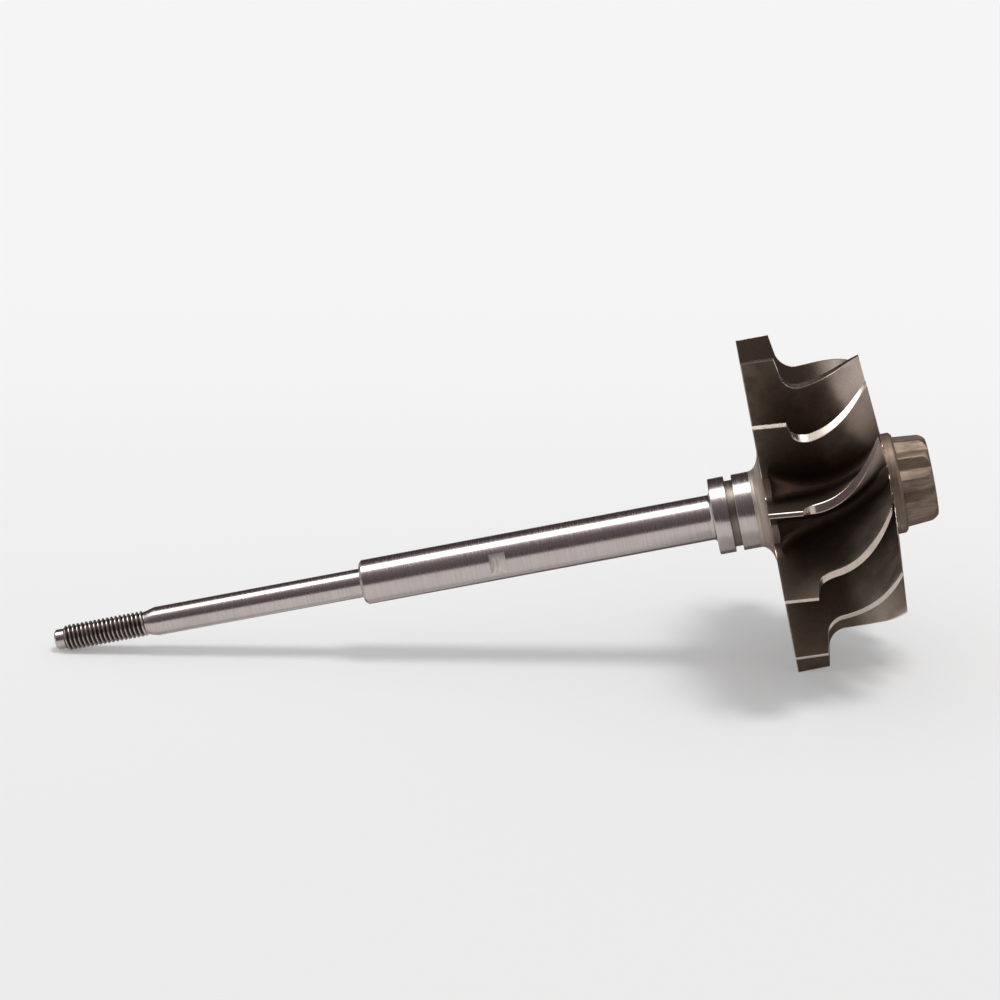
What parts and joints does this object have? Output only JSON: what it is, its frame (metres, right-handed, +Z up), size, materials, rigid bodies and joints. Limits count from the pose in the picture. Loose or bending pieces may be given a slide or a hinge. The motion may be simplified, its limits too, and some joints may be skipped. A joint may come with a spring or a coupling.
{
  "type": "turbine wheel with shaft",
  "caption": "Cast radial turbine wheel with scalloped back and twelve-point nose, welded to a stepped steel shaft with ring groove, journal, compressor seat and threaded end.",
  "frame": {"origin": "middle of the bounding box at the level of the table that the rotor lies on, its axis in the XZ plane", "axes": "+X from the threaded end to the nose along the longest extent, +Z up; the axis rises towards the nose because the rotor rests on two blade tips and on its thread"},
  "size_m": [0.2008, 0.074, 0.0738],
  "materials": {
    "cast_nickel_alloy": "satin",
    "ground_steel": "polished"
  },
  "bodies": {
    "root": {"turbine_wheel": "cast_nickel_alloy", "rotor_shaft": "ground_steel"}
  },
  "joints": []
}
